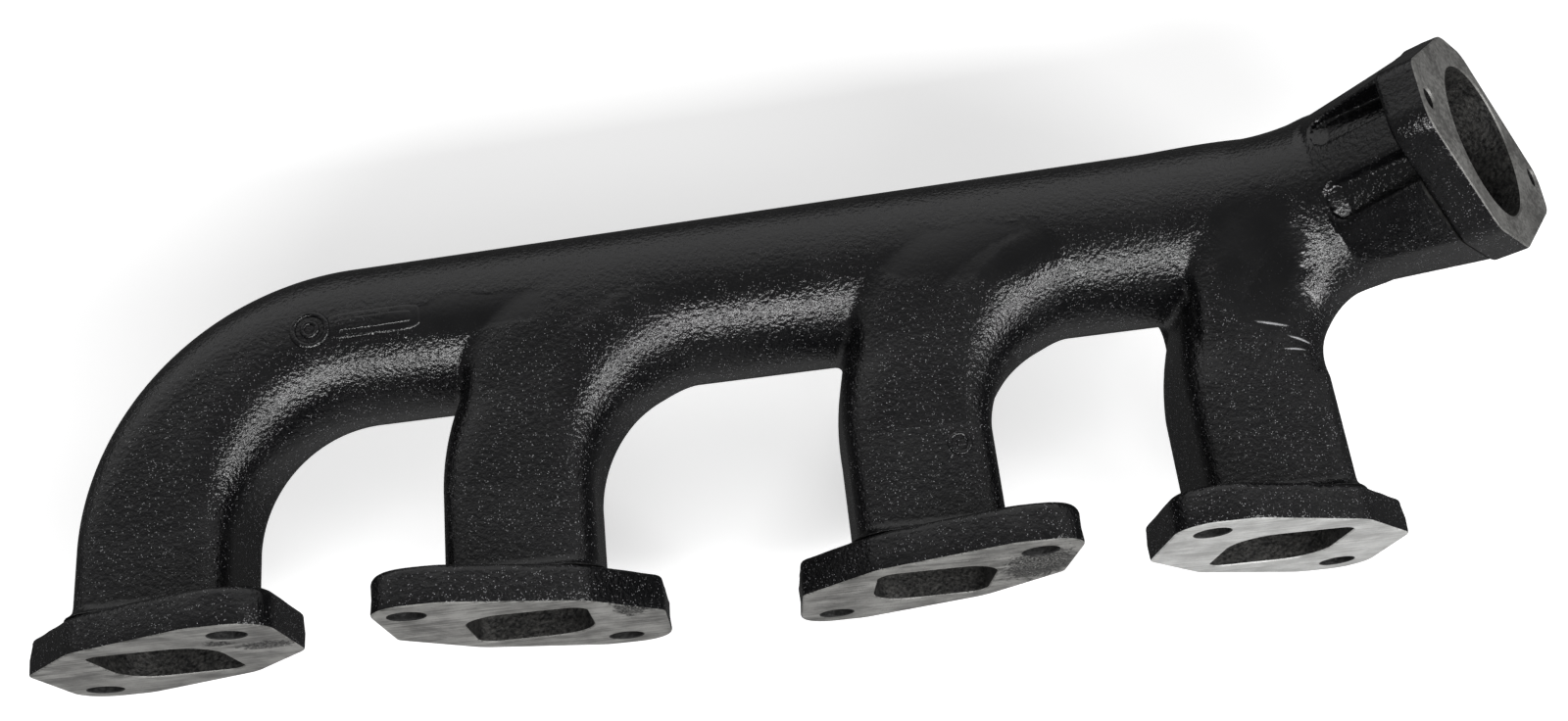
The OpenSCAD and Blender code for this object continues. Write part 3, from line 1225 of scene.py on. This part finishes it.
@dataclass
class Plate:
    """A flange as a closed shell: two pierced ends joined by walls."""

    name: str
    walls: List[Wall]
    place: Callable[[Array], Array]
    ripple: float = 0.22
    sharp: float = math.radians(32)

    def shell(self) -> bpy.types.Mesh:
        """Build the shell.

        Every wall is a grid of its outline against its rows. The ends are the outlines
        of the first and last rows, triangulated with the holes left out.

        Returns:
            The mesh, in metres.
        """
        points: List[Array] = []
        faces: List[Tuple[int, ...]] = []
        index: List[int] = []
        ends: List[List[Array]] = [[], []]
        ids: List[List[int]] = [[], []]
        for wall in self.walls:
            n = len(wall.loop.points)
            start = sum(len(p) for p in points)
            for k, (offset, depth) in enumerate(wall.rows):
                flat = wall.loop.at(offset)
                wave = np.zeros(n)
                if not wall.hole and 0 < k:
                    wave = self.ripple * np.sin(flat[:, 0] * 0.37 + depth * 0.9) \
                        * np.sin(flat[:, 1] * 0.31 + 1.3) * min(1.0, depth / 3)
                flat = flat + wave[:, None] * wall.loop.out
                points.append(np.column_stack([flat, np.full(n, depth)]))
            rows = len(wall.rows)
            i = np.arange(n)
            for k in range(rows - 1):
                a = start + k * n
                strip = np.stack([a + i, a + (i + 1) % n, a + n + (i + 1) % n, a + n + i], 1)
                faces.extend(map(tuple, strip.tolist()))
                index.extend([wall.finish[k].value] * n)
            for side, row in ((0, 0), (1, rows - 1)):
                ends[side].append(np.column_stack([wall.loop.at(wall.rows[row][0]), np.zeros(n)]))
                ids[side].extend((start + row * n + i).tolist())
        for side, kind in ((0, Face.MILLED), (1, Face.PAINT)):
            tris = tessellate_polygon([[Vector(v) for v in loop] for loop in ends[side]])
            faces.extend(tuple(ids[side][j] for j in tri) for tri in tris)
            index.extend([kind.value] * len(tris))
        mesh = bpy.data.meshes.new(self.name)
        mesh.from_pydata(self.place(np.concatenate(points)) * MM, [], faces)
        mesh.polygons.foreach_set("material_index", np.array(index, dtype=np.int32))
        bm = bmesh.new()
        bm.from_mesh(mesh)
        bmesh.ops.recalc_face_normals(bm, faces=bm.faces)
        for face in bm.faces:
            face.smooth = True
        for edge in bm.edges:
            if edge.is_manifold and edge.calc_face_angle() > self.sharp:
                edge.smooth = False
        bm.to_mesh(mesh)
        bm.free()
        return mesh


@dataclass
class PortFlange:
    """One of the four flanges that bolt to the cylinder head."""

    plan: Plan
    index: int
    finishes: Tuple[bpy.types.Material, ...]
    size: float = 42.0
    stud_off: float = 29.5
    stud_r: float = 5.5
    port_w: float = 38.0
    r_wide: float = 13.0
    r_tight: float = 6.0
    half: Tuple[Tuple[float, float, float], ...] = (
        (1.0, -0.03, 5.0), (1.0, 1.0, 12.0), (0.47, 1.0, 14.0), (-0.47, 0.61, 16.0))

    def outline(self) -> Loop:
        """Skewed outline: half's corners, in units of the size, and the same turned round."""
        half, k = self.half, self.size
        pts = [(x * k, z * k, r) for x, z, r in half] + [(-x * k, -z * k, r) for x, z, r in half]
        return dense(rounded_loop(pts))

    def build(self) -> bpy.types.Object:
        """Carry the outline, the gas port and the two stud holes through the flange.

        Returns:
            The piece.
        """
        plan, t = self.plan, self.plan.flange_t
        hand = plan.hands[self.index]
        shift = plan.cast_shift[self.index]
        h = self.port_w / 2
        rs = (self.r_tight, self.r_wide, self.r_tight, self.r_wide)
        port = rounded_loop([(h, -h, rs[0]), (h, h, rs[1]), (-h, h, rs[2]), (-h, -h, rs[3])])
        sides = [(-0.5, 0.0), (-0.12, 0.35), (0.0, 1.0), (-0.1, 5.0)] + back_round(t, 2.6, 0.25)
        walls = [Wall(self.outline(), sides, [Face.MILLED] + [Face.PAINT] * (len(sides) - 2)),
                 Wall(dense(port), [(0.3, 0.0), (0.0, 0.4), (0.0, t)], [Face.MILLED, Face.RAW], True)]
        for s in (1, -1):
            x = s * self.stud_off - hand * shift
            hole = circle_loop(x, s * self.stud_off, self.stud_r)
            walls.append(Wall(hole, [(0.35, 0.0), (0.0, 0.35), (0.0, t)],
                              [Face.DRILLED, Face.DRILLED], True))

        def place(p: Array) -> Array:
            """Stand the flange in its port face, mirrored for the second and fourth."""
            return np.column_stack([plan.port_x[self.index] + hand * p[:, 0], p[:, 2], p[:, 1]])

        name = f"port_flange_{self.index + 1}"
        mesh = Plate(name, walls, place).shell()
        return finish_piece(name, mesh, self.finishes, [name])


@dataclass
class OutletFlange:
    """The flange that the exhaust pipe bolts to."""

    plan: Plan
    finishes: Tuple[bpy.types.Material, ...]
    bolt_r: float = 43.0
    hole_r: float = 3.4
    corners: Tuple[Tuple[float, float, float], ...] = (
        (4.0, 34.5, 14.0), (-13.0, 34.5, 11.0), (-50.0, 11.0, 6.0), (-50.0, -9.0, 12.0),
        (-12.0, -35.0, 14.0), (13.0, -35.0, 9.0), (50.0, -11.0, 6.0), (50.0, 3.0, 10.0))

    def build(self) -> bpy.types.Object:
        """Carry the outline, the bore and the two tapped holes through the flange.

        Returns:
            The piece.
        """
        plan, t = self.plan, self.plan.outlet_t
        sides = [(-0.7, 0.0), (-0.2, 0.35), (0.0, 1.0), (0.0, 5.0)] + back_round(t, 1.6, 0.0)
        walls = [Wall(dense(rounded_loop(self.corners)), sides,
                      [Face.MILLED] + [Face.PAINT] * (len(sides) - 2)),
                 Wall(circle_loop(0, 0, plan.bore_r, 96), [(0.4, 0.0), (0.0, 0.5), (0.0, t)],
                      [Face.MILLED, Face.RAW], True)]
        for s in (1, -1):
            walls.append(Wall(circle_loop(s * self.bolt_r, 0, self.hole_r),
                              [(0.6, 0.0), (0.0, 0.6), (0.0, t)], [Face.MILLED, Face.DRILLED], True))

        def place(p: Array) -> Array:
            """Put the flange square across the outlet."""
            base = plan.knee + plan.outlet_len * plan.outlet
            return base + np.outer(p[:, 0], plan.bolts) + np.outer(p[:, 1], (0, 1, 0)) \
                - np.outer(p[:, 2], plan.outlet)

        mesh = Plate("outlet_flange", walls, place).shell()
        return finish_piece("outlet_flange", mesh, self.finishes, ["outlet_flange"])


# --- pads ------------------------------------------------------------------------------


def grid_mesh(name: str, grid: Array, closed_v: bool) -> bpy.types.Mesh:
    """Mesh of a grid of points that closes round its first direction.

    Args:
        name: the mesh's name.
        grid: (nu, nv, 3) points in millimetres.
        closed_v: close the second direction too; if not, its ends are poles.

    Returns:
        The mesh, in metres, with its faces outwards.
    """
    nu, nv = grid.shape[:2]
    i = np.arange(nu)[:, None]
    j = np.arange(nv if closed_v else nv - 1)[None, :]
    a, b = i * nv + j, (i + 1) % nu * nv + j
    c, d = (i + 1) % nu * nv + (j + 1) % nv, i * nv + (j + 1) % nv
    faces = np.stack([a, b, c, d], -1).reshape(-1, 4)
    mesh = bpy.data.meshes.new(name)
    mesh.from_pydata(grid.reshape(-1, 3) * MM, [], faces)
    bm = bmesh.new()
    bm.from_mesh(mesh)
    bmesh.ops.remove_doubles(bm, verts=bm.verts, dist=1e-7)
    bmesh.ops.dissolve_degenerate(bm, edges=bm.edges, dist=1e-7)
    bmesh.ops.recalc_face_normals(bm, faces=bm.faces)
    for face in bm.faces:
        face.smooth = True
    bm.to_mesh(mesh)
    bm.free()
    return mesh


def merged(name: str, parts: Sequence[bpy.types.Mesh]) -> bpy.types.Mesh:
    """One mesh that holds all of several.

    Args:
        name: the mesh's name.
        parts: the meshes, which are removed.

    Returns:
        The mesh.
    """
    bm = bmesh.new()
    for part in parts:
        bm.from_mesh(part)
    mesh = bpy.data.meshes.new(name)
    bm.to_mesh(mesh)
    bm.free()
    for part in parts:
        bpy.data.meshes.remove(part)
    return mesh


@dataclass
class Pads:
    """Blank badge and foundry mark, raised from the casting's skin."""

    cast: Cast
    finish: bpy.types.Material
    badge: Tuple[float, float] = (-124.0, 96.0)
    badge_ring: float = 5.4
    badge_len: float = 30.0
    badge_bar: float = 9.0
    mark: Tuple[float, float] = (76.0, 38.0)
    mark_r: float = 3.2

    def ring(self, x: float, y: float, r: float, band: float, high: float) -> bpy.types.Mesh:
        """Raised ring: centre + (r + band cos b) (cos a, sin a), and high sin b above the skin.

        Args:
            x: centre.
            y: centre.
            r: radius of the ring's middle line.
            band: half its width.
            high: its height.

        Returns:
            The mesh.
        """
        a = np.linspace(0, 2 * math.pi, 72, endpoint=False)[:, None]
        b = np.linspace(0, 2 * math.pi, 16, endpoint=False)[None, :]
        wide = r + band * np.cos(b)
        px, py = x + wide * np.cos(a), y + wide * np.sin(a)
        z = self.cast.top_of(px, py) + high * np.sin(b)
        return grid_mesh("ring", np.stack([px, py, z], -1), True)

    def plate(self, x: float, y: float, length: float, width: float, high: float) -> bpy.types.Mesh:
        """Low plate along the collector.

        Its outline is a superellipse of power 5, shrunk by t with a rounded shoulder of
        height high (1 - t^6), and it closes with a flat underside below the skin.

        Args:
            x: centre.
            y: centre.
            length: along the collector.
            width: across it.
            high: height above the skin.

        Returns:
            The mesh.
        """
        a = np.linspace(0, 2 * math.pi, 96, endpoint=False)[:, None]
        t = np.concatenate([np.linspace(0, 1, 15), np.linspace(1, 0, 8)])[None, :]
        up = np.concatenate([high * (1 - np.linspace(0, 1, 15) ** 8), np.full(8, -0.8)])[None, :]
        u = np.sign(np.cos(a)) * np.abs(np.cos(a)) ** 0.4 * length / 2 * t
        v = np.sign(np.sin(a)) * np.abs(np.sin(a)) ** 0.4 * width / 2 * t
        c, s = math.cos(self.cast.plan.tilt), math.sin(self.cast.plan.tilt)
        px, py = x + u * c - v * s, y + u * s + v * c
        z = self.cast.top_of(px, py) + up - 0.05
        return grid_mesh("plate", np.stack([px, py, z], -1), False)

    def build(self) -> List[bpy.types.Object]:
        """Make the badge and the foundry mark.

        Returns:
            The two pieces.
        """
        x, y = self.badge
        bar = x + 5.0 + self.badge_len / 2
        lift = (bar - x) * math.tan(self.cast.plan.tilt)
        badge = merged("badge_pad", [
            self.ring(x, y, self.badge_ring, 1.0, 0.9), self.ring(x, y, 2.3, 0.8, 0.7),
            self.plate(bar, y + lift, self.badge_len, self.badge_bar, 0.55),
            self.plate(bar, y + lift, self.badge_len - 4.0, self.badge_bar - 4.0, 1.1)])
        x, y = self.mark
        mark = merged("foundry_pad", [self.ring(x, y, self.mark_r, 0.8, 0.7),
                                      self.plate(x + 0.6, y, 3.2, 2.2, 0.6)])
        return [finish_piece("badge_pad", badge, [self.finish], ["badge_pad"]),
                finish_piece("foundry_pad", mark, [self.finish], ["foundry_pad"])]


# --- studio ----------------------------------------------------------------------------


@dataclass(frozen=True)
class Softbox:
    """An area light that faces a point. Lengths in metres, power in watts."""

    name: str
    place: Tuple[float, float, float]
    aim: Tuple[float, float, float]
    width: float
    height: float
    power: float

    def build(self) -> None:
        """Add the light, turned so that it shines from its place towards its aim."""
        data = bpy.data.lights.new(self.name, "AREA")
        data.shape = "RECTANGLE"
        data.size, data.size_y, data.energy = self.width, self.height, self.power
        lamp = bpy.data.objects.new(self.name, data)
        way = Vector(self.aim) - Vector(self.place)
        turn = way.to_track_quat("-Z", "Y").to_matrix().to_4x4()
        lamp.matrix_world = Matrix.Translation(self.place) @ turn
        bpy.context.scene.collection.objects.link(lamp)


@dataclass
class Studio:
    """Pale floor, soft lights and the camera."""

    eye: Tuple[float, float, float] = (0.004307, -0.101687, 0.463814)
    right: Tuple[float, float, float] = (0.99437, -0.10585, 0.00427)
    up: Tuple[float, float, float] = (0.09690, 0.92509, 0.36719)
    back: Tuple[float, float, float] = (-0.04282, -0.36471, 0.93014)
    lens: float = 34.309
    floor_z: float = -0.075
    boxes: Tuple[Softbox, ...] = (
        Softbox("key_softbox", (0.1, -0.78, 0.78), (0.05, 0.09, 0.0), 1.3, 0.19, 11.0),
        Softbox("right_softbox", (0.95, -0.35, 0.62), (0.05, 0.09, 0.0), 0.3, 0.5, 5.0))

    def floor(self) -> None:
        """Lay a matt pale floor, kept out of reflections so that undersides stay dark."""
        x, y = np.meshgrid([-3.0, 0.0, 3.0], [-3.0, 0.0, 3.0], indexing="ij")
        pts = np.stack([x, y, np.full_like(x, self.floor_z)], -1).reshape(-1, 3)
        a = (np.arange(2)[:, None] * 3 + np.arange(2)[None, :]).ravel()
        mesh = bpy.data.meshes.new("floor")
        mesh.from_pydata(pts, [], np.stack([a, a + 3, a + 4, a + 1], 1))
        s = Shader("pale_floor")
        tone = s.noise(2.0, 2.0).ramp(0.3, 0.7)
        pale = s.mixed((0.9, 0.9, 0.9), (0.93, 0.93, 0.93), tone)
        mesh.materials.append(s.feed(Base_Color=pale, Roughness=0.9, Emission_Color=pale,
                                     Emission_Strength=0.55))
        thing = bpy.data.objects.new("floor", mesh)
        thing.visible_glossy = False
        bpy.context.scene.collection.objects.link(thing)

    def camera(self) -> None:
        """Set the camera from its three directions and its place."""
        data = bpy.data.cameras.new("camera")
        data.lens, data.sensor_width, data.sensor_fit = self.lens, 36.0, "HORIZONTAL"
        data.clip_start, data.clip_end = 0.01, 20.0
        thing = bpy.data.objects.new("camera", data)
        turn = Matrix((self.right, self.up, self.back)).transposed().to_4x4()
        thing.matrix_world = Matrix.Translation(self.eye) @ turn
        bpy.context.scene.collection.objects.link(thing)
        bpy.context.scene.camera = thing

    def world(self) -> None:
        """White room, darker in front than behind, and dark below: ramps over Y and Z."""
        world = bpy.data.worlds.new("studio")
        world.use_nodes = True
        tree = world.node_tree
        shade = tree.nodes["Background"]
        coords = tree.nodes.new("ShaderNodeTexCoord")
        split = tree.nodes.new("ShaderNodeSeparateXYZ")
        tree.links.new(coords.outputs["Generated"], split.inputs["Vector"])
        depth, height = Sock(tree, split.outputs["Y"]), Sock(tree, split.outputs["Z"])
        above = depth.ramp(-1.0, 0.0, 0.06, 0.16) + depth.ramp(0.0, 0.8, 0.0, 0.55)
        below = depth.ramp(-0.35, 0.05, 0.26, 0.06)
        high = height.ramp(-0.15, 0.1)
        level = above * high + below * (1.0 - high)
        shade.inputs["Color"].default_value = (1.0, 1.0, 1.0, 1.0)
        tree.links.new(level.out, shade.inputs["Strength"])
        bpy.context.scene.world = world

    def build(self) -> None:
        """Set up the whole studio."""
        self.floor()
        self.camera()
        self.world()
        for box in self.boxes:
            box.build()
        bpy.context.scene.view_settings.view_transform = "Standard"


# --- assembly --------------------------------------------------------------------------


def coat() -> bpy.types.Material:
    """The enamel, with its smooth patches over the collector and scuffs on runner 4."""
    patches = (Patch((0.181, 0.088, 0.02), (0.017, 0.027, 0.03)),
               Patch((0.088, 0.101, 0.028), (0.032, 0.012, 0.02)),
               Patch((-0.072, 0.097, 0.028), (0.03, 0.007, 0.02)))
    scuffs = (Scuff((0.1815, 0.0675, 0.024), 0.0062, 0.0006, -14.0),
              Scuff((0.1895, 0.0615, 0.024), 0.0048, 0.0006, -22.0),
              Scuff((0.187, 0.0582, 0.024), 0.0042, 0.0005, -8.0))
    return Enamel(patches=patches, scuffs=scuffs).material()


def port_faces() -> List[bpy.types.Material]:
    """The four port flanges' milled faces, each with its own tone and marks; the fourth's much lighter
    tone is painted light, a lit copy of the same milled iron.
    """
    first = (Patch((-0.14, 0.0, 0.012), (0.009, 0.02, 0.006)),
             Patch((-0.152, 0.0, 0.02), (0.005, 0.02, 0.004)))
    second = (Patch((-0.03, 0.0, 0.012), (0.006, 0.02, 0.014)),)
    third = (Patch((0.096, 0.0, 0.013), (0.012, 0.02, 0.022)),)
    kinds = (Milled("milled_1", marks=first),
             Milled("milled_2", dull=(0.12, 0.118, 0.112), turn=(0.0, 0.3, 0.0), marks=second),
             Milled("milled_3", turn=(0.0, -0.2, 0.0), pitting=0.7, marks=third),
             # painted light: the fourth face's colours are a much lighter, lit copy of the milled iron
             Milled("milled_4_lit_copy", (0.74, 0.74, 0.727), (0.44, 0.44, 0.43), (0.0, 0.6, 0.0), 0.25))
    return [kind.material() for kind in kinds]


def main() -> None:
    """Build the manifold, its finishes and the studio."""
    logging.basicConfig(level=logging.INFO, format="%(name)s: %(message)s")
    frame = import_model()
    LOG.info("frame: %d nodes", len(frame["nodes"]))
    plan = Plan()
    cast = Cast(plan)
    enamel, raw, faces = coat(), RawIron().material(), port_faces()
    # painted shade: the hole walls get raw-iron grains made darker than the passages' own, for the shade
    # inside the narrow holes
    drilled = RawIron("hole_wall_painted_shade", light=(0.04, 0.04, 0.04)).material()
    seat = Milled("milled_seat", (0.26, 0.257, 0.247), (0.12, 0.118, 0.113),
                  (0.0, 0.0, math.pi / 2), 0.3).material()
    Studio().build()
    Casting(plan, cast, enamel, raw, 1.3).build()
    for i in range(4):
        PortFlange(plan, i, (faces[i], enamel, drilled, raw)).build()
    OutletFlange(plan, (seat, enamel, drilled, raw)).build()
    Pads(cast, enamel).build()
    LOG.info("size written")


if __name__ == "__main__":
    main()
